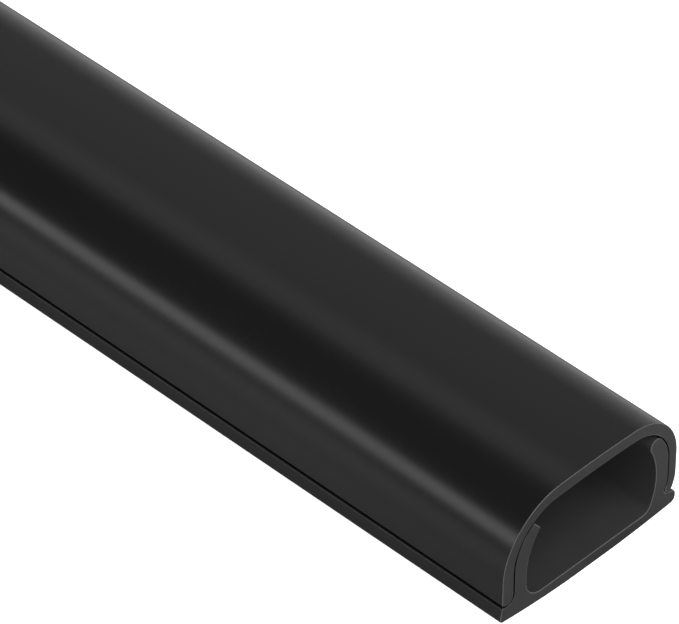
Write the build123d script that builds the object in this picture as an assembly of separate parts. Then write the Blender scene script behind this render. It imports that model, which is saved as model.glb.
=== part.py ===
from build123d import *
import os
from math import atan2, cos, degrees, radians, sin, sqrt, tan

# Clip-on cable raceway in one sold length: a base channel that is fixed to a wall, and a D-shaped cover.
# Both are plastic extrusions with one section from end to end, cut square. The section lies in XZ, with
# the back that faces the wall down, and the length runs along Y about the middle.
# The cover's two edges differ. On the plain side, -X, its wall runs straight down and ends in a rounded
# edge on the base's foot. On the hook side, +X, a thinner wall curls inwards into a groove in the base.
# Each arm of the base follows the inside of the cover, and the hook side's arm ends in a bulb.
# Sizes are in millimetres and angles in degrees.

length = 400.0
width = 20.25
height = 11.21

# The cover's walls and corners
cover_top_wall = 1.2
cover_plain_wall = 1.25
cover_hook_wall = 0.87
crown_radius = 110.0
crown_offset = 0.55
plain_corner_radius = 6.55
hook_corner_radius = 5.4
plain_inner_radius = 4.95
hook_inner_radius = 4.4
plain_edge_radius = 0.65
plain_edge_height = 2.78
plain_edge_slope = 25.0
hook_curl_radius = 3.3
hook_curl_height = 3.64
hook_curl_sweep = 28.0

# Running gaps between the cover and the base
plain_gap = 0.17
hook_gap = 0.1

# The most of a wall's thickness that the radius at each of its two corners may take
fullest_round = 0.49

# The base's floor and feet
floor_thickness = 1.17
back_land_width = 5.0
plain_back_radius = 82.0
hook_back_radius = 120.0
plain_foot_reach = 0.19
plain_foot_fillet = 0.38
plain_foot_straight = 0.06
hook_foot_reach = 0.07
hook_foot_fillet = 0.56
hook_seat_slope = 10.0
plain_floor_fillet = 1.8
hook_floor_fillet = 1.0

# The base's arms
plain_arm_thickness = 1.32
plain_arm_sweep = 55.0
plain_arm_inner_radius = 6.6
plain_arm_inner_drop = 1.06
plain_arm_inner_sweep = 38.6
plain_arm_tip_fillet = 0.2
hook_arm_root = 2.24
hook_arm_sweep = 40.5
bulb_radius = 0.68
bulb_neck_angle = 206.5


def polar(centre, radius, angle):
    """The point on a circle at an angle from +X."""
    return (centre[0] + radius * cos(radians(angle)), centre[1] + radius * sin(radians(angle)))


def arc(centre, radius, start, end):
    """An arc about a centre from one angle to another."""
    return CenterArc(centre, radius, start, end - start)


def bearing(centre, point):
    """The angle from +X at which a centre sees a point."""
    return degrees(atan2(point[1] - centre[1], point[0] - centre[0]))


def round_corners(section, corners, radius):
    """The section with the vertices nearest to the given points rounded."""
    vertices = [section.vertices().sort_by_distance((x, z, 0))[0] for x, z in corners]
    return fillet(vertices, radius)


# Faces and centres that both pieces are drawn from
plain_face = -width / 2 + plain_foot_reach
hook_face = width / 2 - hook_foot_reach
plain_inner_face = plain_face + cover_plain_wall
hook_inner_face = hook_face - cover_hook_wall
crown_centre = (crown_offset, height - crown_radius)
inner_crown_radius = crown_radius - cover_top_wall


def corner_centre(x, radius, outer_radius):
    """The centre of a corner arc that runs smoothly into the crown's arc of the given radius."""
    reach = outer_radius - radius
    return (x, crown_centre[1] + sqrt(reach * reach - (x - crown_centre[0]) ** 2))


plain_outer = corner_centre(plain_face + plain_corner_radius, plain_corner_radius, crown_radius)
hook_outer = corner_centre(hook_face - hook_corner_radius, hook_corner_radius, crown_radius)
plain_inner = corner_centre(plain_inner_face + plain_inner_radius, plain_inner_radius, inner_crown_radius)
hook_inner = corner_centre(hook_inner_face - hook_inner_radius, hook_inner_radius, inner_crown_radius)

plain_edge = (plain_inner_face - plain_edge_radius, plain_edge_height)
plain_edge_end = -90 - plain_edge_slope
curl = (hook_face - hook_curl_radius, hook_curl_height)
curl_inner_radius = hook_curl_radius - cover_hook_wall
curl_tip = polar(curl, hook_curl_radius - cover_hook_wall / 2, -hook_curl_sweep)
curl_tip_radius = cover_hook_wall / 2


def slope_to(point, x):
    """Where a line from a point, at the slope of the cover's plain edge, reaches a given X."""
    return (x, point[1] + (point[0] - x) * tan(radians(plain_edge_slope)))


def cover_section():
    """The cover: outside from the plain edge over the crown to the hook, and back along the inside."""
    edge_end = polar(plain_edge, plain_edge_radius, plain_edge_end)
    outer_corner = slope_to(edge_end, plain_face)
    plain_turn = bearing(crown_centre, plain_outer)
    hook_turn = bearing(crown_centre, hook_outer)
    plain_inner_turn = bearing(crown_centre, plain_inner)
    hook_inner_turn = bearing(crown_centre, hook_inner)
    return make_face(Wire([
        Line(outer_corner, (plain_face, plain_outer[1])),
        arc(plain_outer, plain_corner_radius, 180, plain_turn),
        arc(crown_centre, crown_radius, plain_turn, hook_turn),
        arc(hook_outer, hook_corner_radius, hook_turn, 0),
        Line((hook_face, hook_outer[1]), (hook_face, hook_curl_height)),
        arc(curl, hook_curl_radius, 0, -hook_curl_sweep),
        arc(curl_tip, curl_tip_radius, -hook_curl_sweep, -hook_curl_sweep - 180),
        arc(curl, curl_inner_radius, -hook_curl_sweep, 0),
        Line((hook_inner_face, hook_curl_height), (hook_inner_face, hook_inner[1])),
        arc(hook_inner, hook_inner_radius, 0, hook_inner_turn),
        arc(crown_centre, inner_crown_radius, hook_inner_turn, plain_inner_turn),
        arc(plain_inner, plain_inner_radius, plain_inner_turn, 180),
        Line((plain_inner_face, plain_inner[1]), (plain_inner_face, plain_edge_height)),
        arc(plain_edge, plain_edge_radius, 0, plain_edge_end),
        Line(edge_end, outer_corner),
    ]))


def back_centre(radius):
    """The centre of the bow that curves up from the edge of the back's flat land."""
    return (0, sqrt(radius * radius - (back_land_width / 2) ** 2))


def base_section():
    """The base, round from the plain foot: its seat and arm, the floor, the hook arm, the groove, the back."""
    # Plain side: the seat and the arm keep one gap from the cover's edge and inside
    foot_x = -width / 2
    seat_radius = plain_edge_radius + plain_gap
    seat_end = polar(plain_edge, seat_radius, plain_edge_end)
    seat_corner = slope_to(seat_end, plain_face)
    arm_face = plain_inner_face + plain_gap
    arm_radius = plain_inner_radius - plain_gap
    arm_tip = polar(plain_inner, arm_radius, 180 - plain_arm_sweep)
    arm_inner_face = arm_face + plain_arm_thickness
    arm_inner = (arm_inner_face + plain_arm_inner_radius, plain_inner[1] - plain_arm_inner_drop)
    arm_inner_tip = polar(arm_inner, plain_arm_inner_radius, 180 - plain_arm_inner_sweep)
    arm_root = (arm_inner_face, floor_thickness)

    # Hook side: the arm ends in a bulb, and one hollow arc runs from there down to the arm's root
    hook_arm_face = hook_inner_face - hook_gap
    hook_arm_radius = hook_inner_radius - hook_gap
    bulb = polar(hook_inner, hook_arm_radius - bulb_radius, hook_arm_sweep)
    neck = polar(bulb, bulb_radius, bulb_neck_angle)
    neck_heading = polar((0, 0), 1, bulb_neck_angle + 90)
    hook_arm_foot = (hook_arm_face - hook_arm_root, floor_thickness)

    # The groove keeps its gap round the curled edge of the cover, and its floor slopes down to the foot's nose
    groove_radius = curl_tip_radius + hook_gap
    groove_start = 180 - hook_curl_sweep
    groove_end = polar(curl_tip, groove_radius, -90 - hook_seat_slope)
    nose_x = width / 2
    nose_top = groove_end[1] - (nose_x - groove_end[0]) * tan(radians(hook_seat_slope))

    # The back: a flat land to rest on, with a shallow bow up to each foot
    land = back_land_width / 2
    plain_bow = back_centre(plain_back_radius)
    hook_bow = back_centre(hook_back_radius)
    plain_back = (foot_x, plain_bow[1] - sqrt(plain_back_radius ** 2 - foot_x ** 2))
    shoulder = (foot_x, plain_back[1] + plain_foot_fillet + plain_foot_straight)
    hook_back = (nose_x, hook_bow[1] - sqrt(hook_back_radius ** 2 - nose_x ** 2))
    nose_fillet = min(hook_foot_fillet, fullest_round * (nose_top - hook_back[1]))

    section = make_face(Wire([
        Line(plain_back, shoulder),
        Line(shoulder, seat_corner),
        Line(seat_corner, seat_end),
        arc(plain_edge, seat_radius, plain_edge_end, 0),
        Line((arm_face, plain_edge_height), (arm_face, plain_inner[1])),
        arc(plain_inner, arm_radius, 180, 180 - plain_arm_sweep),
        Line(arm_tip, arm_inner_tip),
        arc(arm_inner, plain_arm_inner_radius, 180 - plain_arm_inner_sweep, 180),
        Line((arm_inner_face, arm_inner[1]), arm_root),
        Line(arm_root, hook_arm_foot),
        TangentArc(neck, hook_arm_foot, tangent=neck_heading),
        arc(bulb, bulb_radius, bulb_neck_angle, hook_arm_sweep),
        arc(hook_inner, hook_arm_radius, hook_arm_sweep, 0),
        Line((hook_arm_face, hook_inner[1]), (hook_arm_face, hook_curl_height)),
        arc(curl, curl_inner_radius - hook_gap, 0, -hook_curl_sweep),
        arc(curl_tip, groove_radius, groove_start, 270 - hook_seat_slope),
        Line(groove_end, (nose_x, nose_top)),
        Line((nose_x, nose_top), hook_back),
        arc(hook_bow, hook_back_radius, bearing(hook_bow, hook_back), bearing(hook_bow, (land, 0))),
        Line((land, 0), (-land, 0)),
        arc(plain_bow, plain_back_radius, bearing(plain_bow, (-land, 0)), bearing(plain_bow, plain_back)),
    ]))
    section = round_corners(section, [(nose_x, nose_top), hook_back], nose_fillet)
    section = round_corners(section, [plain_back, shoulder], plain_foot_fillet)
    section = round_corners(section, [arm_tip, arm_inner_tip], plain_arm_tip_fillet)
    section = round_corners(section, [arm_root], plain_floor_fillet)
    return round_corners(section, [hook_arm_foot], hook_floor_fillet)


def extrusion(section):
    """The section, drawn in its own plane, stood up in XZ and extruded to the full length."""
    return extrude(Plane.XZ * section, amount=length / 2, both=True)


if __name__ == "__main__":
    os.makedirs("parts", exist_ok=True)
    export_step(extrusion(base_section()), "parts/base_channel.step")
    export_step(extrusion(cover_section()), "parts/lid_cover.step")
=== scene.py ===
from functools import partial
from math import acos, atan2, ceil, cos, dist, pi, radians, sin, sqrt, tan

import bpy
from bpy.props import FloatProperty, FloatVectorProperty, IntProperty, PointerProperty
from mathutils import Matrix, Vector


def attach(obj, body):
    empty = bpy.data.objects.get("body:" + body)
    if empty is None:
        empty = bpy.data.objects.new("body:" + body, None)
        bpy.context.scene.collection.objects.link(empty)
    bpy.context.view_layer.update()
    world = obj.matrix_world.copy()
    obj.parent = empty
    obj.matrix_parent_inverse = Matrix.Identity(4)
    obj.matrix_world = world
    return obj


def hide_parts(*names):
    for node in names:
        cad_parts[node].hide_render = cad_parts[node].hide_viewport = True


bl_info = {
    "name": "Clip-on Cable Raceway",
    "version": (1, 0, 0),
    "blender": (4, 5, 0),
    "location": "3D View > Sidebar > Raceway",
    "description": "Two plastic extrusions of a cable raceway, with their finish and a plain stage",
    "category": "Object",
}

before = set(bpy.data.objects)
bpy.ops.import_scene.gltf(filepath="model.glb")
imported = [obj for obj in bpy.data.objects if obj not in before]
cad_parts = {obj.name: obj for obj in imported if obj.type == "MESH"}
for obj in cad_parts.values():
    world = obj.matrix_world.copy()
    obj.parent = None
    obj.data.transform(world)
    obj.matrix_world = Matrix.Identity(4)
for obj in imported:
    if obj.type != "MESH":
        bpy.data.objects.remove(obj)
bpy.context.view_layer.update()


def millimetres(name, description, value):
    """A length property, given in millimetres and kept in metres."""
    return FloatProperty(
        name=name, description=description, default=value / 1000,
        min=0.0, precision=5, unit="LENGTH",
    )


def turn(name, description, value):
    """An angle property, given in degrees."""
    return FloatProperty(
        name=name, description=description, default=radians(value), subtype="ANGLE",
    )


def number(name, description, value):
    """A plain number or share."""
    return FloatProperty(name=name, description=description, default=value, min=0.0, precision=4)


def colour(name, description, value):
    """A colour property."""
    return FloatVectorProperty(
        name=name, description=description, default=value, subtype="COLOR", size=3, min=0.0, max=1.0
    )


class RacewaySizes(bpy.types.PropertyGroup):
    """What both extrusions share"""

    length: millimetres("Length", "Sold length, cut square at both ends", 400.0)
    width: millimetres("Width", "Across the feet of the base", 20.25)
    height: millimetres("Height", "From the back to the top of the cover", 11.21)
    plain_gap: millimetres("Plain gap", "Between the cover and the base on the plain side", 0.17)
    hook_gap: millimetres("Hook gap", "Between the cover and the base on the hook side", 0.1)
    edge_round: millimetres("Edge round", "Eased edge round each saw cut", 0.08)
    gap_share: number("Gap share", "Share of that round where the edge faces the other piece", 0.6)
    edge_steps: IntProperty(
        name="Edge steps", description="Facets across an eased edge", default=4, min=1,
    )
    spans: IntProperty(name="Spans", description="Divisions along the length", default=24, min=1)


class CoverSizes(bpy.types.PropertyGroup):
    """The D-shaped cover"""

    top_wall: millimetres("Top wall", "Wall over the top", 1.2)
    plain_wall: millimetres("Plain wall", "Wall on the plain side", 1.25)
    hook_wall: millimetres("Hook wall", "Wall on the hook side", 0.87)
    crown_radius: millimetres("Crown radius", "Slight bow of the top", 110.0)
    crown_offset: millimetres("Crown offset", "How far the bow's top lies towards the hook", 0.55)
    plain_corner: millimetres("Plain corner", "Outer corner radius on the plain side", 6.55)
    hook_corner: millimetres("Hook corner", "Outer corner radius on the hook side", 5.4)
    plain_inner: millimetres("Plain inner corner", "Inner corner radius on the plain side", 4.95)
    hook_inner: millimetres("Hook inner corner", "Inner corner radius on the hook side", 4.4)
    edge_radius: millimetres("Edge radius", "Rounded inside of the plain edge", 0.65)
    edge_height: millimetres("Edge height", "Height of that round's centre", 2.78)
    edge_corner: millimetres("Edge corner", "Eased outer corner of the plain edge", 0.26)
    edge_slope: turn("Edge slope", "Slope under the plain edge", 25.0)
    curl_radius: millimetres("Curl radius", "Outside of the hook's curl", 3.3)
    curl_height: millimetres("Curl height", "Height of the curl's centre", 3.64)
    curl_sweep: turn("Curl sweep", "How far the hook curls in", 28.0)


class BaseSizes(bpy.types.PropertyGroup):
    """The channel that is fixed to the wall"""

    floor: millimetres("Floor", "Thickness of the floor", 1.17)
    land: millimetres("Land", "Width of the flat land along the back", 5.0)
    plain_bow: millimetres("Plain bow", "Bow of the back up to the plain foot", 82.0)
    hook_bow: millimetres("Hook bow", "Bow of the back up to the hook foot", 120.0)
    plain_reach: millimetres("Plain reach", "How far the plain foot stands past the cover", 0.19)
    plain_fillet: millimetres("Plain foot fillet", "Rounded corners of the plain foot", 0.38)
    seat_corner: millimetres("Seat corner", "Eased ridge of the seat under the plain edge", 0.18)
    plain_straight: millimetres("Plain straight", "Straight between those corners", 0.06)
    hook_reach: millimetres("Hook reach", "How far the hook foot stands past the cover", 0.07)
    hook_fillet: millimetres("Hook foot fillet", "Rounded nose of the hook foot", 0.56)
    hook_slope: turn("Hook seat slope", "Slope of the groove's floor down to the nose", 10.0)
    plain_root: millimetres("Plain root", "Fillet between the floor and the plain arm", 1.8)
    hook_root: millimetres("Hook root", "Fillet between the floor and the hook arm", 1.0)
    arm: millimetres("Arm", "Thickness of the plain arm", 1.32)
    arm_sweep: turn("Arm sweep", "How far the plain arm follows the cover's corner", 55.0)
    arm_inner: millimetres("Arm inner radius", "Inside of the plain arm", 6.6)
    arm_drop: millimetres("Arm drop", "How far that arc's centre lies under the outer one", 1.06)
    arm_inner_sweep: turn("Arm inner sweep", "How far the inside of the plain arm curves", 38.6)
    arm_tip: millimetres("Arm tip", "Rounded tip of the plain arm", 0.2)
    hook_arm: millimetres("Hook arm", "Width of the hook arm's root", 2.24)
    hook_sweep: turn("Hook arm sweep", "How far the hook arm follows the cover's corner", 40.5)
    bulb: millimetres("Bulb", "Radius of the bulb on the hook arm", 0.68)
    neck: turn("Neck", "Where the bulb runs into the arm", 206.5)


class FinishSettings(bpy.types.PropertyGroup):
    """Satin black extruded plastic"""

    cover_colour: colour("Cover colour", "Colour of the cover", (0.0068, 0.0068, 0.007))
    base_colour: colour("Base colour", "Colour of the base", (0.0105, 0.0105, 0.0107))
    # Painted light: the faces round the duct are painted lighter than the same plastic outside
    painted_lit_inner_colour: colour(
        "Inner colour", "Duller colour of the faces round the duct", (0.0278, 0.0278, 0.0282),
    )
    cut_colour: colour("Cut colour", "Greyer colour of a sawn face", (0.019, 0.019, 0.0193))
    # Lighter colour of the cut edges: partly rubbed plastic, partly a painted edge highlight
    worn_and_highlight_colour: colour("Worn colour", "Rubbed plastic along the edges", (0.085, 0.085, 0.086))
    skin_roughness: number("Skin roughness", "Roughness of the drawn faces", 0.24)
    inner_roughness: number("Inner roughness", "Roughness of the faces round the duct", 0.4)
    cut_roughness: number("Cut roughness", "Roughness of a sawn face", 0.52)
    line_spacing: millimetres("Line spacing", "Between the fine lines that the die leaves", 0.35)
    line_run: millimetres("Line run", "How far such a line runs before it fades", 90.0)
    line_depth: millimetres("Line depth", "Height of those lines", 0.0006)
    # Painted highlight: a lighter band painted along the plain half of the cover's top
    painted_sheen_offset: millimetres(
        "Band offset", "From the middle to the lighter band along the plain half of the top", 2.7,
    )
    painted_sheen_reach: millimetres("Band reach", "From the middle of that band to where it has faded", 2.0)
    painted_sheen_tone: number("Band tone", "How much lighter that band is than the rest", 1.85)
    mottle_size: millimetres("Mottle size", "Size of the soft patches in the gloss", 14.0)
    saw_pitch: millimetres("Saw pitch", "Between the marks of the saw's teeth", 0.22)
    saw_radius: millimetres("Saw radius", "Radius of the saw blade", 125.0)
    saw_depth: millimetres("Saw depth", "Height of those marks", 0.004)
    # Reach of that rubbed colour, which is also the painted edge highlight
    wear_and_highlight_reach: millimetres("Wear reach", "How far rubbing reaches from a cut end", 0.04)


class StageSettings(bpy.types.PropertyGroup):
    """Camera, floor and studio light"""

    camera_place: FloatVectorProperty(
        name="Camera place", description="Where the camera stands", size=3, precision=5,
        default=(-0.238212, -0.407801, 0.301317), subtype="TRANSLATION", unit="LENGTH",
    )
    camera_tilt: turn("Camera tilt", "How far the camera looks down", 41.06)
    camera_heading: turn("Camera heading", "Turn of the camera from the length towards +X", 45.35)
    camera_lens: number("Lens", "Focal length for a 36 mm sensor, in millimetres", 293.89)
    floor_colour: colour("Floor colour", "Colour of the plain floor", (0.85, 0.85, 0.85))
    floor_glow: number("Floor glow", "Extra white of the floor in the picture itself", 0.88)
    dim_side: number("Dim side", "Brightness of the surroundings on the plain side", 0.1)
    cove: number("Cove", "Brightness of the surroundings low down", 0.55)
    bright_side: number(
        "Bright side", "Brightness of the surroundings high up on the hook side", 0.74,
    )
    low_side: number("Low side", "What the surroundings gain low down on the hook side", 0.48)
    # Painted shade: how dark the floor is painted, in reflections only, close round the part
    hook_reflected_shade: number(
        "Hook card", "Share of the floor's white in the reflection close to the hook side", 0.12,
    )
    plain_reflected_shade: number(
        "Plain card", "Share of the floor's white in the reflection close to the plain side", 0.5,
    )
    front_reflected_shade: number("Front card", "That share in front of the cut end's plain side", 0.48)
    front_light: number("Front light", "Brightness of the large light before the cut end", 4.8)
    strip_light: number("Strip light", "Brightness of the long light beside the plain wall", 3.9)


# Sections

# The most that a facet may stand off its arc, and may turn
FINEST_SAG = 0.0000012
WIDEST_STEP = radians(6)

# The most that a facet of an eased corner may turn, and the fewest facets
CORNER_STEP = WIDEST_STEP * 1.5
CORNER_FACETS = 4

# Points closer than this are one
SAME_POINT = 0.0000001

# The most of a wall's thickness that the radius at each of its two corners may take
FULLEST_ROUND = 0.49


def polar(centre, radius, angle):
    """The point on a circle at an angle from +X."""
    return (centre[0] + radius * cos(angle), centre[1] + radius * sin(angle))


def arc(centre, radius, start, end):
    """Points along an arc, near enough to each other that its facets don't show."""
    step = min(WIDEST_STEP, 2 * acos(1 - FINEST_SAG / radius))
    count = max(2, ceil(abs(end - start) / step))
    return [polar(centre, radius, start + (end - start) * i / count) for i in range(count + 1)]


def bearing(centre, point):
    """The angle from +X at which a centre sees a point."""
    return atan2(point[1] - centre[1], point[0] - centre[0])


def tangent_arc(start, heading, end):
    """An arc that leaves a point at a heading and ends at another point."""
    across = (-heading[1], heading[0])
    span = (end[0] - start[0], end[1] - start[1])
    radius = (span[0] ** 2 + span[1] ** 2) / (2 * (span[0] * across[0] + span[1] * across[1]))
    centre = (start[0] + radius * across[0], start[1] + radius * across[1])
    first = bearing(centre, start)
    swept = bearing(centre, end) - first
    if radius > 0:
        swept %= 2 * pi
    else:
        swept = -(-swept % (2 * pi))
    return arc(centre, abs(radius), first, first + swept)


def tidy_outline(points):
    """The closed outline without points that fall together."""
    kept = []
    for point in points:
        if not kept or dist(point, kept[-1]) > SAME_POINT:
            kept.append(point)
    if dist(kept[0], kept[-1]) < SAME_POINT:
        kept.pop()
    return kept


def walk(outline, start, direction, distance):
    """How many points lie up to a distance from a corner, the place there and the heading."""
    count = len(outline)
    index = start
    passed = 0
    while True:
        here, there = outline[index % count], outline[(index + direction) % count]
        step = dist(there, here)
        heading = ((there[0] - here[0]) / step, (there[1] - here[1]) / step)
        if step >= distance:
            place = (here[0] + heading[0] * distance, here[1] + heading[1] * distance)
            return passed, place, heading
        distance -= step
        index += direction
        passed += 1


def ease_corner(outline, corner, radius):
    """The outline with its corner nearest to a place rounded to a radius."""
    count = len(outline)
    index = min(range(count), key=lambda i: dist(outline[i], corner))
    before, here, after = outline[index - 1], outline[index], outline[(index + 1) % count]
    turned = bearing(here, after) - bearing(before, here)
    turned = abs((turned + pi) % (2 * pi) - pi)
    reach = radius * tan(turned / 2)
    back_count, start, back = walk(outline, index, -1, reach)
    fore_count, end, fore = walk(outline, index, 1, reach)

    # With handles of this length the curve runs very close to the arc
    pull = reach * (4 / 3) * tan(turned / 4) / tan(turned / 2)
    first = (start[0] - back[0] * pull, start[1] - back[1] * pull)
    second = (end[0] - fore[0] * pull, end[1] - fore[1] * pull)
    four = (start, first, second, end)
    steps = max(CORNER_FACETS, ceil(turned / CORNER_STEP))
    curve = []
    for i in range(steps + 1):
        t = i / steps
        weights = ((1 - t) ** 3, 3 * t * (1 - t) ** 2, 3 * t * t * (1 - t), t ** 3)
        curve.append(tuple(sum(w * p[axis] for w, p in zip(weights, four)) for axis in (0, 1)))
    from_corner = outline[index:] + outline[:index]
    return tidy_outline(curve + from_corner[fore_count + 1:count - back_count])


class Plan:
    """Faces and centres that both sections are drawn from."""

    def __init__(self, whole, cover, base):
        self.whole, self.cover, self.base = whole, cover, base
        self.plain_face = -whole.width / 2 + base.plain_reach
        self.hook_face = whole.width / 2 - base.hook_reach
        self.plain_inner_face = self.plain_face + cover.plain_wall
        self.hook_inner_face = self.hook_face - cover.hook_wall
        self.crown = (cover.crown_offset, whole.height - cover.crown_radius)
        self.inner_crown = cover.crown_radius - cover.top_wall
        self.plain_outer = self.corner(self.plain_face, cover.plain_corner, cover.crown_radius)
        self.hook_outer = self.corner(self.hook_face, cover.hook_corner, cover.crown_radius)
        self.plain_inner = self.corner(self.plain_inner_face, cover.plain_inner, self.inner_crown)
        self.hook_inner = self.corner(self.hook_inner_face, cover.hook_inner, self.inner_crown)
        self.plain_edge = (self.plain_inner_face - cover.edge_radius, cover.edge_height)
        self.edge_end = -pi / 2 - cover.edge_slope
        self.curl = (self.hook_face - cover.curl_radius, cover.curl_height)
        self.curl_inner = cover.curl_radius - cover.hook_wall
        self.curl_tip = polar(self.curl, cover.curl_radius - cover.hook_wall / 2, -cover.curl_sweep)

    def corner(self, face, radius, outer):
        """The centre of a corner arc that starts at a face and runs smoothly into the crown."""
        x = face + radius if face < 0 else face - radius
        reach = outer - radius
        return (x, self.crown[1] + sqrt(reach * reach - (x - self.crown[0]) ** 2))

    def slope_to(self, point, x):
        """Where a line at the slope of the cover's plain edge reaches a given X."""
        return (x, point[1] + (point[0] - x) * tan(self.cover.edge_slope))


# Each outline comes with the points that face the duct and those that face the other piece

def cover_outline(plan):
    """The cover, from its plain edge over the crown to the hook and back inside."""
    cover, base = plan.cover, plan.base
    edge_end = polar(plan.plain_edge, cover.edge_radius, plan.edge_end)
    outer_corner = plan.slope_to(edge_end, plan.plain_face)
    plain_turn = bearing(plan.crown, plan.plain_outer)
    hook_turn = bearing(plan.crown, plan.hook_outer)
    plain_inner_turn = bearing(plan.crown, plan.plain_inner)
    hook_inner_turn = bearing(plan.crown, plan.hook_inner)
    sweep = cover.curl_sweep
    points = [outer_corner]
    points += arc(plan.plain_outer, cover.plain_corner, pi, plain_turn)
    points += arc(plan.crown, cover.crown_radius, plain_turn, hook_turn)
    points += arc(plan.hook_outer, cover.hook_corner, hook_turn, 0)
    points += arc(plan.curl, cover.curl_radius, 0, -sweep)
    points += arc(plan.curl_tip, cover.hook_wall / 2, -sweep, -sweep - pi)
    hidden = arc(plan.curl, plan.curl_inner, -sweep, 0)
    hidden += arc(plan.hook_inner, cover.hook_inner, 0, base.hook_sweep)
    points += hidden
    roof = arc(plan.hook_inner, cover.hook_inner, base.hook_sweep, hook_inner_turn)
    roof += arc(plan.crown, plan.inner_crown, hook_inner_turn, plain_inner_turn)
    roof += arc(plan.plain_inner, cover.plain_inner, plain_inner_turn, pi - base.arm_sweep)
    points += roof
    behind_arm = arc(plan.plain_inner, cover.plain_inner, pi - base.arm_sweep, pi)
    points += behind_arm
    points += arc(plan.plain_edge, cover.edge_radius, 0, plan.edge_end)
    outline = ease_corner(tidy_outline(points), outer_corner, cover.edge_corner)
    return outline, {"duct": set(roof), "gap": set(hidden + behind_arm)}


def base_outline(plan):
    """The base, from the plain foot over both arms to the groove and back."""
    whole, cover, base = plan.whole, plan.cover, plan.base
    foot = -whole.width / 2
    nose = whole.width / 2
    seat_radius = cover.edge_radius + whole.plain_gap
    seat_end = polar(plan.plain_edge, seat_radius, plan.edge_end)
    seat_corner = plan.slope_to(seat_end, plan.plain_face)
    arm_face = plan.plain_inner_face + whole.plain_gap
    arm_radius = cover.plain_inner - whole.plain_gap
    arm_tip = polar(plan.plain_inner, arm_radius, pi - base.arm_sweep)
    arm_inner_face = arm_face + base.arm
    arm_inner = (arm_inner_face + base.arm_inner, plan.plain_inner[1] - base.arm_drop)
    arm_inner_tip = polar(arm_inner, base.arm_inner, pi - base.arm_inner_sweep)
    arm_root = (arm_inner_face, base.floor)

    hook_arm_face = plan.hook_inner_face - whole.hook_gap
    hook_arm_radius = cover.hook_inner - whole.hook_gap
    bulb = polar(plan.hook_inner, hook_arm_radius - base.bulb, base.hook_sweep)
    neck = polar(bulb, base.bulb, base.neck)
    neck_heading = polar((0, 0), 1, base.neck + pi / 2)
    hook_arm_foot = (hook_arm_face - base.hook_arm, base.floor)

    groove_radius = cover.hook_wall / 2 + whole.hook_gap
    groove_end = polar(plan.curl_tip, groove_radius, -pi / 2 - base.hook_slope)
    land = base.land / 2
    plain_bow = (0, sqrt(base.plain_bow ** 2 - land ** 2))
    hook_bow = (0, sqrt(base.hook_bow ** 2 - land ** 2))
    plain_back = (foot, plain_bow[1] - sqrt(base.plain_bow ** 2 - foot ** 2))
    shoulder = (foot, plain_back[1] + base.plain_fillet + base.plain_straight)
    hook_back = (nose, hook_bow[1] - sqrt(base.hook_bow ** 2 - nose ** 2))
    nose_top = (nose, groove_end[1] - (nose - groove_end[0]) * tan(base.hook_slope))

    points = [plain_back, shoulder, seat_corner]
    points += arc(plan.plain_edge, seat_radius, plan.edge_end, 0)
    points += arc(plan.plain_inner, arm_radius, pi, pi - base.arm_sweep)
    points += arc(arm_inner, base.arm_inner, pi - base.arm_inner_sweep, pi)
    points += [arm_root]
    points += reversed(tangent_arc(neck, neck_heading, hook_arm_foot))
    points += arc(bulb, base.bulb, base.neck, base.hook_sweep)
    points += arc(plan.hook_inner, hook_arm_radius, base.hook_sweep, 0)
    points += arc(plan.curl, plan.curl_inner - whole.hook_gap, 0, -cover.curl_sweep)
    points += arc(plan.curl_tip, groove_radius, pi - cover.curl_sweep, 3 * pi / 2 - base.hook_slope)
    points += [nose_top]
    for centre, bow, start, end in (
        (hook_bow, base.hook_bow, hook_back, (land, 0)),
        (plain_bow, base.plain_bow, (-land, 0), plain_back),
    ):
        points += arc(centre, bow, bearing(centre, start), bearing(centre, end))
    outline = tidy_outline(points)
    nose_fillet = min(base.hook_fillet, FULLEST_ROUND * (nose_top[1] - hook_back[1]))
    for corner, radius in (
        (nose_top, nose_fillet), (hook_back, nose_fillet),
        (plain_back, base.plain_fillet), (shoulder, base.plain_fillet),
        (seat_corner, base.seat_corner),
        (arm_tip, base.arm_tip), (arm_inner_tip, base.arm_tip),
        (arm_root, base.plain_root), (hook_arm_foot, base.hook_root),
    ):
        outline = ease_corner(outline, corner, radius)
    sides = {"duct": set(), "gap": set()}
    for x, z in outline:
        if z > base.floor / 2 and plan.plain_face + base.seat_corner / 2 < x < plan.curl_tip[0]:
            centre, radius = plan.plain_inner, arm_radius
            if x >= 0:
                centre, radius = plan.hook_inner, hook_arm_radius
            inside = dist((x, max(z, centre[1])), centre) < radius - whole.hook_gap / 2
            sides["duct" if inside else "gap"].add((x, z))
    return outline, sides


# Node helpers

def feed(tree, socket, value):
    """Links an output to an input, or sets the input's own value."""
    if isinstance(value, bpy.types.NodeSocket):
        tree.links.new(value, socket)
    else:
        socket.default_value = value


def add(tree, kind, inputs=None, **settings):
    """A node with its settings, and its inputs by name or number."""
    made = tree.nodes.new(kind)
    for key, value in settings.items():
        setattr(made, key, value)
    for key, value in (inputs or {}).items():
        feed(tree, made.inputs[key], value)
    return made


def maths(tree, *values, operation):
    """One step of arithmetic."""
    return add(tree, "ShaderNodeMath", dict(enumerate(values)), operation=operation).outputs[0]


plus = partial(maths, operation="ADD")
minus = partial(maths, operation="SUBTRACT")
times = partial(maths, operation="MULTIPLY")
over = partial(maths, operation="DIVIDE")
times_plus = partial(maths, operation="MULTIPLY_ADD")
larger = partial(maths, operation="MAXIMUM")
smaller = partial(maths, operation="MINIMUM")
size_of = partial(maths, operation="ABSOLUTE")
above = partial(maths, operation="GREATER_THAN")


def parts(tree, vector):
    """A vector's three parts, by their letters."""
    return add(tree, "ShaderNodeSeparateXYZ", {0: vector}).outputs


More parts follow.
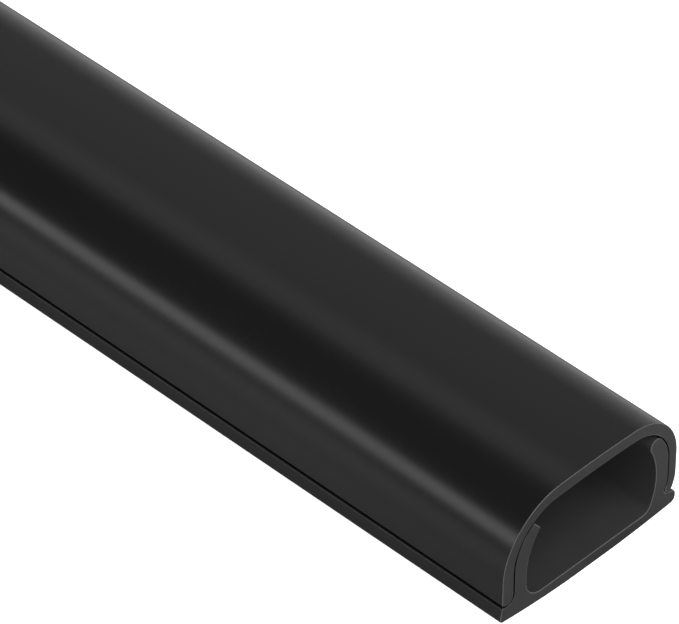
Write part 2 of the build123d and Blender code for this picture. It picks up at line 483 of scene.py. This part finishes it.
def vector_of(tree, **letters):
    """A vector from its parts, the rest of which are 0."""
    return add(tree, "ShaderNodeCombineXYZ", letters).outputs[0]


def blend(tree, share, first, second):
    """A number between two others. A mix node keeps its number sockets at 2 and 3."""
    return add(tree, "ShaderNodeMix", {0: share, 2: first, 3: second}).outputs[0]


def ramp(tree, value, levels, ends=(0.0, 1.0), kind="SMOOTHSTEP"):
    """A value brought from one end to the other while it runs between two levels."""
    return add(tree, "ShaderNodeMapRange", {
        "Value": value, "From Min": levels[0], "From Max": levels[1],
        "To Min": ends[0], "To Max": ends[1],
    }, interpolation_type=kind).outputs[0]


def sockets(tree, inputs, outputs):
    """Gives a node group its named sockets, and returns its input and output nodes."""
    for name, kind, default in inputs:
        socket = tree.interface.new_socket(name, in_out="INPUT", socket_type="NodeSocket" + kind)
        if default is not None:
            socket.default_value = default
    for name, kind in outputs:
        tree.interface.new_socket(name, in_out="OUTPUT", socket_type="NodeSocket" + kind)
    return tree.nodes.new("NodeGroupInput").outputs, tree.nodes.new("NodeGroupOutput").inputs


# Extrusions

# A face is cut when this much of its normal runs along the length
CUT_FACING = 0.995

# A face is on a side of the section when its points are marked by more than this
MARKED = 0.9


def capture(tree, geometry, values):
    """Keeps values of the points, by name, for the nodes further on."""
    made = add(tree, "GeometryNodeCaptureAttribute", {"Geometry": geometry})
    for name, (kind, value) in values.items():
        made.capture_items.new(kind, name)
        feed(tree, made.inputs[name], value)
    return made.outputs


def extrusion_tree():
    """Sweeps a closed section, drawn in XY, to a length along Y, with an edge eased at each cut."""
    tree = bpy.data.node_groups.new("extruded_length", "GeometryNodeTree")
    given, out = sockets(tree, [
        ("Section", "Geometry", None),
        ("Length", "Float", 0.4),
        ("Edge Round", "Float", 0.00008),
        ("Gap Share", "Float", 0.6),
        ("Edge Steps", "Int", 4),
        ("Spans", "Int", 24),
        ("Skin", "Material", None),
        ("Duct Skin", "Material", None),
        ("Gap Skin", "Material", None),
        ("Saw Cut", "Material", None),
    ], [("Extrusion", "Geometry")])
    half = times(tree, given["Length"], 0.5)
    ease = given["Edge Round"]

    # The line that the section is drawn along has extra points where the edges are eased
    last = plus(tree, given["Spans"], times(tree, given["Edge Steps"], 2))
    line = add(tree, "GeometryNodeCurvePrimitiveLine", {"Start": (0, 0, -1), "End": (0, 0, 1)})
    rings = add(tree, "GeometryNodeResampleCurve", {
        "Curve": line.outputs[0], "Count": plus(tree, last, 1),
    })
    index = add(tree, "GeometryNodeInputIndex").outputs[0]
    from_end = smaller(tree, index, minus(tree, last, index))
    share = smaller(tree, over(tree, from_end, given["Edge Steps"]), 1)
    angle = times(tree, share, pi / 2)
    round_depth = times(tree, ease, minus(tree, 1, maths(tree, angle, operation="COSINE")))
    inset = times(tree, ease, minus(tree, 1, maths(tree, angle, operation="SINE")))
    straight = minus(tree, given["Length"], times(tree, ease, 2))
    span = over(tree, straight, given["Spans"])
    passed = larger(tree, minus(tree, from_end, given["Edge Steps"]), 0)
    depth = plus(tree, round_depth, times(tree, passed, span))
    side = maths(tree, minus(tree, times(tree, index, 2), last), operation="SIGN")
    place = vector_of(tree, Z=times(tree, side, minus(tree, half, depth)))
    path = add(tree, "GeometryNodeSetPosition", {"Geometry": rings.outputs[0], "Position": place})
    along = capture(tree, path.outputs[0], {"Inset": ("FLOAT", inset)})

    # The section keeps the direction out of the plastic, so that the eased edges can be drawn in
    section = add(tree, "GeometryNodeMeshToCurve", {"Mesh": given["Section"]})
    tangent = add(tree, "GeometryNodeInputTangent").outputs[0]
    outward = add(tree, "ShaderNodeVectorMath", {
        0: tangent, 1: (0, 0, 1),
    }, operation="CROSS_PRODUCT")
    kept = {"Outward": ("VECTOR", outward.outputs[0])}
    for name in ("duct", "gap"):
        mark = add(tree, "GeometryNodeInputNamedAttribute", {"Name": name})
        kept[name] = ("FLOAT", mark.outputs[0])
    faced = capture(tree, section.outputs[0], kept)

    swept = add(tree, "GeometryNodeCurveToMesh", {
        "Curve": along[0], "Profile Curve": faced[0], "Fill Caps": True,
    })
    held_back = times(tree, faced["gap"], minus(tree, given["Gap Share"], 1))
    drawn_in = add(tree, "ShaderNodeVectorMath", {
        0: faced["Outward"], "Scale": times(tree, along["Inset"], minus(tree, -1, held_back)),
    }, operation="SCALE")
    eased = add(tree, "GeometryNodeSetPosition", {
        "Geometry": swept.outputs[0], "Offset": drawn_in.outputs[0],
    })

    laid = add(tree, "GeometryNodeTransform", {
        "Geometry": eased.outputs[0], "Rotation": (pi / 2, 0, 0),
    })
    whole = add(tree, "GeometryNodeRealizeInstances", {"Geometry": laid.outputs[0]})
    normal = add(tree, "GeometryNodeInputNormal").outputs[0]
    on_cut = above(tree, size_of(tree, parts(tree, normal)["Y"]), CUT_FACING)
    finished = add(tree, "GeometryNodeSetShadeSmooth", {
        "Geometry": whole.outputs[0], "Shade Smooth": minus(tree, 1, on_cut),
    })
    for finish, chosen in (
        ("Skin", True),
        ("Duct Skin", above(tree, faced["duct"], MARKED)),
        ("Gap Skin", above(tree, faced["gap"], MARKED)),
        ("Saw Cut", on_cut),
    ):
        finished = add(tree, "GeometryNodeSetMaterial", {
            "Geometry": finished.outputs[0], "Selection": chosen, "Material": given[finish],
        })
    feed(tree, out["Extrusion"], finished.outputs[0])
    return tree


def extrude_section(name, outline, sides, whole, finishes):
    """A plain mesh of the outline drawn to length, with a finish for each side of the section."""
    area = sum(a[0] * b[1] - b[0] * a[1] for a, b in zip(outline, outline[1:] + outline[:1]))
    if area < 0:
        outline = outline[::-1]
    count = len(outline)
    mesh = bpy.data.meshes.new(name + "_section")
    edges = [(i, (i + 1) % count) for i in range(count)]
    mesh.from_pydata([(x, z, 0) for x, z in outline], edges, [])
    for side, points in sides.items():
        attribute = mesh.attributes.new(side, "FLOAT", "POINT")
        attribute.data.foreach_set("value", [float(point in points) for point in outline])
    piece = bpy.data.objects.new(name, mesh)
    bpy.context.scene.collection.objects.link(piece)
    tree = bpy.data.node_groups.get("extruded_length") or extrusion_tree()
    modifier = piece.modifiers.new("Extrusion", "NODES")
    modifier.node_group = tree
    values = {
        "Length": whole.length, "Edge Round": whole.edge_round, "Gap Share": whole.gap_share,
        "Edge Steps": whole.edge_steps, "Spans": whole.spans, **finishes,
    }
    for item in tree.interface.items_tree:
        if item.in_out == "INPUT" and item.name in values:
            modifier[item.identifier] = values[item.name]
    bpy.context.view_layer.update()
    evaluated = piece.evaluated_get(bpy.context.evaluated_depsgraph_get())
    plain = bpy.data.meshes.new_from_object(evaluated, preserve_all_data_layers=False)
    piece.modifiers.clear()
    piece.data = plain
    plain.name = name
    bpy.data.meshes.remove(mesh)
    if len(plain.polygons) < count:
        raise RuntimeError(f"{name} has only {len(plain.polygons)} faces")
    return piece


# Finishes

# How shiny the plastic is, seen straight on
SPECULAR = 0.25

# Die lines: shares of the fine and the broad ones, and the broad ones' spacing in fine ones
FINE_SHARE, BROAD_SHARE = 0.6, 0.4
BROAD_SPACING = 5.0

# Soft patches: length in widths, and the noise at which they begin and are full
PATCH_STRETCH = 3.0
PATCH_LEVELS = (0.3, 0.7)

# Rub marks: slants, width in lengths and noise levels, then the same of the patches they lie in
SCUFF_SLANTS = (0.35, -0.8)
SCUFF_WIDTH = 0.012
SCUFF_LEVELS = (0.72, 0.80)
SCUFFED_SIZE = 4.0
SCUFFED_LEVELS = (0.5, 0.7)

# Worn ends, whose lighter colour is also a painted edge highlight: size of the breaks along the
# edge, how they move its limit, and how soft that is
BREAK_SIZE = 0.0009
BREAK_PULL, BREAK_START = 0.5, 0.75
WORN_AND_HIGHLIGHT_LEVELS = (0.0, 0.4)

# Saw marks: the hub in blade radii, size and pull of what is uneven, change along a mark,
# size and height of the grain, and the noise at which a streak begins and is full
HUB_ACROSS, HUB_UP = -0.28, 0.96
UNEVEN_SIZE, UNEVEN_PULL = 0.004, 1.5
CHANGE_ALONG = 3.0
GRAIN_SIZE, GRAIN_HEIGHT = 0.00009, 0.35
STREAK_LEVELS = (0.35, 0.7)

# Drawn plastic: tones of the patches and lines, shares of lines and marks, and added roughness
PATCH_TONES = (0.93, 1.07)
LINE_TONE, LINE_SHARE = 1.25, 0.25
SCUFF_SHARE = 0.06
PATCH_ROUGHNESS, LINE_ROUGHNESS, RUBBED_ROUGHNESS = 0.035, 0.03, 0.12

# Rubbing and painted edge highlight of the cut ends' edges, and of those that face the other piece
EDGE_WEAR_AND_HIGHLIGHT, GAP_WEAR_AND_HIGHLIGHT = 0.9, 0.35

# Shifts of the finishes, so that the two pieces don't repeat each other
COVER_SHIFT = (0.0, 0.0, 0.0)
BASE_SHIFT = (0.031, 0.07, 0.013)

# Sawn plastic: size and tones of the patches, and what a streak changes
SAWN_PATCH = 0.004
SAWN_TONES = (0.9, 1.1)
STREAK_TONE, STREAK_SHARE, STREAK_ROUGHNESS = 1.6, 0.3, 0.08
SAW_STRENGTH = 0.35


def shader_group(name, inputs, outputs):
    """A new shader node group with its input and output nodes."""
    tree = bpy.data.node_groups.new(name, "ShaderNodeTree")
    given, out = sockets(tree, [("Vector", "Vector", None)] + inputs, outputs)
    return tree, given, out


def noise(tree, vector, detail=2.0, roughness=0.5):
    """Noise of about one unit, between 0 and 1."""
    return add(tree, "ShaderNodeTexNoise", {
        "Vector": vector, "Scale": 1.0, "Detail": detail, "Roughness": roughness,
    }).outputs[0]


def in_units(tree, vector, x, y, z):
    """Coordinates counted in cells of the given sizes."""
    sizes = vector_of(tree, X=x, Y=y, Z=z)
    return add(tree, "ShaderNodeVectorMath", {0: vector, 1: sizes}, operation="DIVIDE").outputs[0]


def die_lines_group():
    """Fine lines along the length, as the die leaves them."""
    tree, given, out = shader_group("die_lines", [
        ("Spacing", "Float", 0.00035), ("Run", "Float", 0.09),
    ], [("Height", "Float"), ("Broad", "Float")])
    spacing, run = given["Spacing"], given["Run"]
    fine_cells = in_units(tree, given["Vector"], spacing, run, spacing)
    fine = noise(tree, fine_cells, detail=3.0, roughness=0.6)
    wide = times(tree, spacing, BROAD_SPACING)
    broad = noise(tree, in_units(tree, given["Vector"], wide, run, wide))
    height = plus(tree, times(tree, fine, FINE_SHARE), times(tree, broad, BROAD_SHARE))
    feed(tree, out["Height"], height)
    feed(tree, out["Broad"], broad)
    return tree


def mottle_group():
    """Soft patches of slightly different gloss."""
    tree, given, out = shader_group(
        "soft_mottle", [("Size", "Float", 0.014)], [("Mask", "Float")]
    )
    size = given["Size"]
    longer = times(tree, size, PATCH_STRETCH)
    cells = in_units(tree, given["Vector"], size, longer, size)
    patches = noise(tree, cells, detail=3.0, roughness=0.55)
    feed(tree, out["Mask"], ramp(tree, patches, PATCH_LEVELS))
    return tree


def scuffs_group():
    """Sparse hair-fine rub marks, in two slanting directions."""
    tree, given, out = shader_group(
        "hair_scuffs", [("Length", "Float", 0.006)], [("Mask", "Float")]
    )
    length = given["Length"]
    thin = times(tree, length, SCUFF_WIDTH)
    marks = []
    for slant in SCUFF_SLANTS:
        turned = add(tree, "ShaderNodeVectorRotate", {
            "Vector": given["Vector"], "Angle": slant,
        }, rotation_type="Z_AXIS").outputs[0]
        hair = noise(tree, in_units(tree, turned, thin, length, length), detail=1.0)
        marks.append(ramp(tree, hair, SCUFF_LEVELS))
    size = times(tree, length, SCUFFED_SIZE)
    cells = in_units(tree, given["Vector"], size, size, size)
    patch = ramp(tree, noise(tree, cells), SCUFFED_LEVELS)
    feed(tree, out["Mask"], times(tree, larger(tree, *marks), patch))
    return tree


def end_wear_and_highlight_group():
    """Rubbed plastic close to the cut ends, broken up along the edge, whose lighter colour also
    paints the edge highlights.
    """
    tree, given, out = shader_group("end_wear_and_highlight", [
        ("Half Length", "Float", 0.2), ("Reach", "Float", 0.00004),
    ], [("Mask", "Float")])
    along = size_of(tree, parts(tree, given["Vector"])["Y"])
    from_end = over(tree, minus(tree, given["Half Length"], along), given["Reach"])
    cells = in_units(tree, given["Vector"], BREAK_SIZE, BREAK_SIZE, BREAK_SIZE)
    limit = times_plus(tree, noise(tree, cells, detail=3.0), BREAK_PULL, BREAK_START)
    feed(tree, out["Mask"], ramp(tree, minus(tree, limit, from_end), WORN_AND_HIGHLIGHT_LEVELS))
    return tree


def saw_marks_group():
    """Shallow arcs across a cut end, as a circular saw leaves them."""
    tree, given, out = shader_group("saw_marks", [
        ("Pitch", "Float", 0.00022), ("Blade Radius", "Float", 0.125),
    ], [("Height", "Float"), ("Streak", "Float")])
    radius = given["Blade Radius"]
    hub = vector_of(tree, X=times(tree, radius, HUB_ACROSS), Z=times(tree, radius, HUB_UP))
    flat = add(tree, "ShaderNodeVectorMath", {
        0: given["Vector"], 1: (1, 0, 1),
    }, operation="MULTIPLY").outputs[0]
    distance = add(tree, "ShaderNodeVectorMath", {
        0: flat, 1: hub,
    }, operation="DISTANCE").outputs["Value"]
    rings = over(tree, distance, given["Pitch"])
    uneven = noise(tree, in_units(tree, given["Vector"], UNEVEN_SIZE, 1.0, UNEVEN_SIZE))
    phase = plus(tree, rings, times(tree, uneven, UNEVEN_PULL))
    strip = vector_of(tree, X=phase, Y=times(tree, uneven, CHANGE_ALONG))
    teeth = noise(tree, strip, roughness=0.6)
    grain = noise(tree, in_units(tree, given["Vector"], GRAIN_SIZE, GRAIN_SIZE, GRAIN_SIZE))
    feed(tree, out["Height"], plus(tree, teeth, times(tree, grain, GRAIN_HEIGHT)))
    feed(tree, out["Streak"], ramp(tree, teeth, STREAK_LEVELS))
    return tree


EFFECTS = {
    "die_lines": die_lines_group, "soft_mottle": mottle_group, "hair_scuffs": scuffs_group,
    "end_wear_and_highlight": end_wear_and_highlight_group, "saw_marks": saw_marks_group,
}


def placed(tree, name, inputs):
    """One of the shared effects, placed in a material with its own values."""
    group = bpy.data.node_groups.get(name) or EFFECTS[name]()
    made = tree.nodes.new("ShaderNodeGroup")
    made.node_tree = group
    for key, value in inputs.items():
        feed(tree, made.inputs[key], value)
    return made.outputs


def new_material(name, shift):
    """A new plastic, its shader, and object coordinates as they are and shifted."""
    material = bpy.data.materials.new(name)
    material.use_nodes = True
    tree = material.node_tree
    tree.nodes.clear()
    shader = add(tree, "ShaderNodeBsdfPrincipled", {"Specular IOR Level": SPECULAR, "IOR": 1.5})
    output = add(tree, "ShaderNodeOutputMaterial", {"Surface": shader.outputs[0]})
    output.is_active_output = True
    coordinates = add(tree, "ShaderNodeTexCoord").outputs["Object"]
    shifted = add(tree, "ShaderNodeMapping", {"Vector": coordinates, "Location": shift}).outputs[0]
    return material, tree, shader.inputs, coordinates, shifted


def rgba(colour_value, scale=1.0):
    """A colour with its alpha, made lighter or darker."""
    return tuple(channel * scale for channel in colour_value) + (1.0,)


def mix_colours(tree, share, first, second):
    """A colour between two others. A mix node keeps its colour sockets at 6 and 7, and at 2."""
    made = tree.nodes.new("ShaderNodeMix")
    made.data_type = "RGBA"
    for socket, value in ((0, share), (6, first), (7, second)):
        feed(tree, made.inputs[socket], value)
    return made.outputs[2]


def raised(tree, height, distance, strength=1.0):
    """The normal of a face with a fine relief."""
    return add(tree, "ShaderNodeBump", {
        "Height": height, "Distance": distance, "Strength": strength,
    }).outputs[0]


def drawn_plastic(name, tone, dullness, wear_and_highlight_share, with_painted_sheen, finish, length, shift):
    """Black plastic as it leaves the die, with lighter cut edges that are partly wear and partly
    painted highlight, and on request a painted highlight band along the top.
    """
    material, tree, shader, coordinates, vector = new_material(name, shift)
    lines = placed(tree, "die_lines", {
        "Vector": vector, "Spacing": finish.line_spacing, "Run": finish.line_run,
    })
    patches = placed(tree, "soft_mottle", {"Vector": vector, "Size": finish.mottle_size})["Mask"]
    scuffs = placed(tree, "hair_scuffs", {"Vector": vector})["Mask"]
    worn_and_highlight = placed(tree, "end_wear_and_highlight", {
        "Vector": coordinates, "Half Length": length / 2, "Reach": finish.wear_and_highlight_reach,
    })["Mask"]
    body = mix_colours(tree, patches, *(rgba(tone, shade) for shade in PATCH_TONES))
    streaked = mix_colours(
        tree, times(tree, lines["Broad"], LINE_SHARE), body, rgba(tone, LINE_TONE)
    )
    # Painted highlight: a lighter band painted along the plain half of the top
    if with_painted_sheen:
        from_painted_sheen = size_of(tree, plus(tree, parts(tree, coordinates)["X"], finish.painted_sheen_offset))
        painted_sheen_mask = ramp(tree, from_painted_sheen, (finish.painted_sheen_reach, 0.0))
        streaked = mix_colours(tree, painted_sheen_mask, streaked, rgba(tone, finish.painted_sheen_tone))
    # Rubbed edges and scuffs; the edges' lighter colour is also a painted edge highlight
    rubbed_and_highlight = larger(tree, times(tree, worn_and_highlight, wear_and_highlight_share), times(tree, scuffs, SCUFF_SHARE))
    feed(tree, shader["Base Color"], mix_colours(tree, rubbed_and_highlight, streaked, rgba(finish.worn_and_highlight_colour)))
    gloss = times_plus(tree, patches, PATCH_ROUGHNESS, dullness - PATCH_ROUGHNESS / 2)
    gloss = times_plus(tree, lines["Broad"], LINE_ROUGHNESS, gloss)
    feed(tree, shader["Roughness"], times_plus(tree, rubbed_and_highlight, RUBBED_ROUGHNESS, gloss))
    feed(tree, shader["Normal"], raised(tree, lines["Height"], finish.line_depth))
    return material


def sawn_plastic(name, tone, finish, shift):
    """The greyer face that the saw leaves."""
    material, tree, shader, _, vector = new_material(name, shift)
    marks = placed(tree, "saw_marks", {
        "Vector": vector, "Pitch": finish.saw_pitch, "Blade Radius": finish.saw_radius,
    })
    patches = placed(tree, "soft_mottle", {"Vector": vector, "Size": SAWN_PATCH})["Mask"]
    body = mix_colours(tree, patches, *(rgba(tone, shade) for shade in SAWN_TONES))
    streaks = times(tree, marks["Streak"], STREAK_SHARE)
    feed(tree, shader["Base Color"], mix_colours(tree, streaks, body, rgba(tone, STREAK_TONE)))
    smoothest = finish.cut_roughness - STREAK_ROUGHNESS / 2
    feed(tree, shader["Roughness"], times_plus(tree, marks["Streak"], STREAK_ROUGHNESS, smoothest))
    feed(tree, shader["Normal"], raised(tree, marks["Height"], finish.saw_depth, SAW_STRENGTH))
    return material


def piece_finishes(piece, tone, finish, length, shift):
    """The four finishes of one extrusion: outside, round the duct (painted lighter, as painted
    light inside the duct), inside the gaps, and sawn.
    """
    smooth, dull = finish.skin_roughness, finish.inner_roughness
    looks = (
        ("Skin", "_satin_black", tone, smooth, EDGE_WEAR_AND_HIGHLIGHT, piece == "cover"),
        # The duct's faces take the lighter colour, as painted light inside the duct
        ("Duct Skin", "_dull_inside", finish.painted_lit_inner_colour, dull, EDGE_WEAR_AND_HIGHLIGHT, False),
        ("Gap Skin", "_gap_side", tone, smooth, GAP_WEAR_AND_HIGHLIGHT, False),
    )
    finishes = {
        side: drawn_plastic(piece + ending, *look, finish, length, shift)
        for side, ending, *look in looks
    }
    finishes["Saw Cut"] = sawn_plastic(piece + "_sawn_end", finish.cut_colour, finish, shift)
    return finishes


# Stage

CLIP = (0.01, 100.0)
FLOOR_REACH = 30.0
SQUARE = ((-1, -1), (1, -1), (1, 1), (-1, 1))

# Where the surroundings change: shares of a direction towards the hook side, and upwards
SIDE_LEVELS = (0.05, 0.55)
LOW_LEVELS = (0.58, 0.9)
COVE_LEVELS = (0.03, 0.26)

# Where the floor's reflected white is painted darker, as painted shade round the part: across, on
# from the near end, and along
HOOK_REFLECTED_SHADE = (0.016, 0.04)
PLAIN_REFLECTED_SHADE = (-0.032, -0.0101)
FRONT_REFLECTED_SHADE = (0.0045, 0.0088)
END_LEVELS = (-0.206, -0.196)

# The large light before the cut end, and the long one beside the plain wall
SOFTBOX_PLACE, SOFTBOX_TARGET, SOFTBOX_SIZE = (0.2, -3.2, 3.4), (0, -0.2, 0), (3.4, 4.6)
STRIP_RISE, STRIP_DISTANCE, STRIP_SIZE = radians(23), 3, (9.0, 0.87)


def aim(thing, target):
    """Turns a light so that it faces a point."""
    direction = Vector(target) - thing.location
    thing.rotation_euler = direction.to_track_quat("-Z", "Y").to_euler()


def soft_light(name, place, target, size, brightness):
    """A rectangular light of an even brightness, not seen by the camera itself."""
    lamp = bpy.data.lights.new(name, "AREA")
    lamp.shape = "RECTANGLE"
    lamp.size, lamp.size_y = size
    lamp.energy = brightness * pi * size[0] * size[1]
    light = bpy.data.objects.new(name, lamp)
    light.location = place
    aim(light, target)
    light.visible_camera = False
    bpy.context.scene.collection.objects.link(light)


def studio_world(stage):
    """Soft surroundings, dim up on the plain side, and bright low down and on the hook side."""
    world = bpy.data.worlds.new("studio_surroundings")
    world.use_nodes = True
    tree = world.node_tree
    tree.nodes.clear()
    direction = parts(tree, add(tree, "ShaderNodeTexCoord").outputs["Generated"])
    side = ramp(tree, direction["X"], SIDE_LEVELS, (stage.dim_side, stage.bright_side))
    low = ramp(tree, direction["X"], LOW_LEVELS, (0.0, stage.low_side))
    cove = ramp(tree, direction["Z"], COVE_LEVELS, (stage.cove, 0.0))
    level = larger(tree, plus(tree, side, low), cove)
    seen = add(tree, "ShaderNodeLightPath").outputs["Is Camera Ray"]
    background = add(tree, "ShaderNodeBackground", {"Strength": blend(tree, seen, level, 1.0)})
    add(tree, "ShaderNodeOutputWorld", {"Surface": background.outputs[0]})
    return world


def floor_material(stage, half_length):
    """Plain matt white, painted darker close round the part in its reflections only, as painted
    shade.
    """
    material = bpy.data.materials.new("plain_floor")
    material.use_nodes = True
    tree = material.node_tree
    shader = tree.nodes["Principled BSDF"].inputs
    path = add(tree, "ShaderNodeLightPath").outputs
    place = parts(tree, add(tree, "ShaderNodeTexCoord").outputs["Object"])
    across, along = place["X"], place["Y"]
    # Painted shade in reflections only: the floor darker beside the part and before its plain side
    hook_shade = ramp(tree, across, HOOK_REFLECTED_SHADE, (stage.hook_reflected_shade, 1.0))
    plain_shade = ramp(tree, across, PLAIN_REFLECTED_SHADE, (1.0, stage.plain_reflected_shade))
    shade_beside = blend(tree, above(tree, across, 0.0), plain_shade, hook_shade)
    ahead = plus(tree, across, plus(tree, along, half_length))
    shade_in_front = ramp(tree, ahead, FRONT_REFLECTED_SHADE, (stage.front_reflected_shade, 1.0))
    share = blend(tree, ramp(tree, along, END_LEVELS, kind="LINEAR"), shade_in_front, shade_beside)
    seen_share = blend(tree, path["Is Glossy Ray"], 1.0, share)
    white = mix_colours(tree, seen_share, (0, 0, 0, 1), rgba(stage.floor_colour))
    feed(tree, shader["Base Color"], white)
    shader["Roughness"].default_value = 0.9
    shader["Specular IOR Level"].default_value = 0.0
    shader["Emission Color"].default_value = (1, 1, 1, 1)
    glow = times(tree, path["Is Camera Ray"], stage.floor_glow)
    feed(tree, shader["Emission Strength"], glow)
    return material


class RACEWAY_OT_stage(bpy.types.Operator):
    """Set up the camera, the floor and the studio light"""

    bl_idname = "raceway.stage"
    bl_label = "Stage"

    def execute(self, context):
        scene = context.scene
        stage = scene.raceway_stage
        data = bpy.data.cameras.new("Camera")
        data.sensor_width = 36.0
        data.lens = stage.camera_lens
        data.clip_start, data.clip_end = CLIP
        camera = bpy.data.objects.new("Camera", data)
        camera.location = stage.camera_place
        camera.rotation_euler = (pi / 2 - stage.camera_tilt, 0, -stage.camera_heading)
        scene.collection.objects.link(camera)
        scene.camera = camera

        mesh = bpy.data.meshes.new("floor")
        corners = [(x * FLOOR_REACH, y * FLOOR_REACH, 0) for x, y in SQUARE]
        mesh.from_pydata(corners, [], [range(4)])
        mesh.materials.append(floor_material(stage, scene.raceway_sizes.length / 2))
        floor = bpy.data.objects.new("floor", mesh)
        scene.collection.objects.link(floor)

        scene.world = studio_world(stage)
        soft_light(
            "front_softbox", SOFTBOX_PLACE, SOFTBOX_TARGET, SOFTBOX_SIZE, stage.front_light
        )
        strip_place = (-STRIP_DISTANCE * cos(STRIP_RISE), 0, STRIP_DISTANCE * sin(STRIP_RISE))
        soft_light("side_strip", strip_place, (0, 0, 0), STRIP_SIZE, stage.strip_light)
        scene.view_settings.view_transform = "Standard"
        scene.view_settings.look = "None"
        return {"FINISHED"}


def draw_piece(scene, name, outline_of, piece, tone, shift):
    """One extrusion from the scene's settings, with its finishes."""
    whole = scene.raceway_sizes
    outline, sides = outline_of(Plan(whole, scene.raceway_cover, scene.raceway_base))
    finishes = piece_finishes(piece, tone, scene.raceway_finish, whole.length, shift)
    return extrude_section(name, outline, sides, whole, finishes)


class RACEWAY_OT_cover(bpy.types.Operator):
    """Draw the cover to length and give it its finish"""

    bl_idname = "raceway.cover"
    bl_label = "Cover"

    def execute(self, context):
        scene = context.scene
        tone = scene.raceway_finish.cover_colour
        cover = draw_piece(scene, "clip_cover", cover_outline, "cover", tone, COVER_SHIFT)
        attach(cover, "cover")
        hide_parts("lid_cover")
        return {"FINISHED"}


class RACEWAY_OT_base(bpy.types.Operator):
    """Draw the base channel to length and give it its finish"""

    bl_idname = "raceway.base"
    bl_label = "Base channel"

    def execute(self, context):
        scene = context.scene
        tone = scene.raceway_finish.base_colour
        base = draw_piece(scene, "wall_channel", base_outline, "base", tone, BASE_SHIFT)
        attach(base, "base")
        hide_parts("base_channel")
        return {"FINISHED"}


class RACEWAY_PT_panel(bpy.types.Panel):
    """Raceway pieces and settings"""

    bl_idname = "RACEWAY_PT_panel"
    bl_label = "Cable Raceway"
    bl_space_type = "VIEW_3D"
    bl_region_type = "UI"
    bl_category = "Raceway"

    def draw(self, context):
        layout = self.layout
        for operator in (RACEWAY_OT_stage, RACEWAY_OT_base, RACEWAY_OT_cover):
            layout.operator(operator.bl_idname)
        for title, group, _ in GROUPS_ON_SCENE:
            settings = getattr(context.scene, group)
            box = layout.box()
            box.label(text=title)
            for key in settings.bl_rna.properties.keys():
                if key not in ("name", "rna_type"):
                    box.prop(settings, key)


GROUPS_ON_SCENE = (
    ("Whole", "raceway_sizes", RacewaySizes),
    ("Cover", "raceway_cover", CoverSizes),
    ("Base", "raceway_base", BaseSizes),
    ("Finish", "raceway_finish", FinishSettings),
    ("Stage", "raceway_stage", StageSettings),
)
CLASSES = tuple(kind for _, _, kind in GROUPS_ON_SCENE) + (
    RACEWAY_OT_stage, RACEWAY_OT_base, RACEWAY_OT_cover, RACEWAY_PT_panel,
)


def register():
    for kind in CLASSES:
        bpy.utils.register_class(kind)
    for _, group, kind in GROUPS_ON_SCENE:
        setattr(bpy.types.Scene, group, PointerProperty(type=kind))


def unregister():
    for _, group, _ in GROUPS_ON_SCENE:
        delattr(bpy.types.Scene, group)
    for kind in reversed(CLASSES):
        bpy.utils.unregister_class(kind)


def main():
    """Makes the stage and the pieces."""
    register()
    bpy.ops.raceway.stage()
    bpy.ops.raceway.base()
    bpy.ops.raceway.cover()


if __name__ == "__main__":
    main()
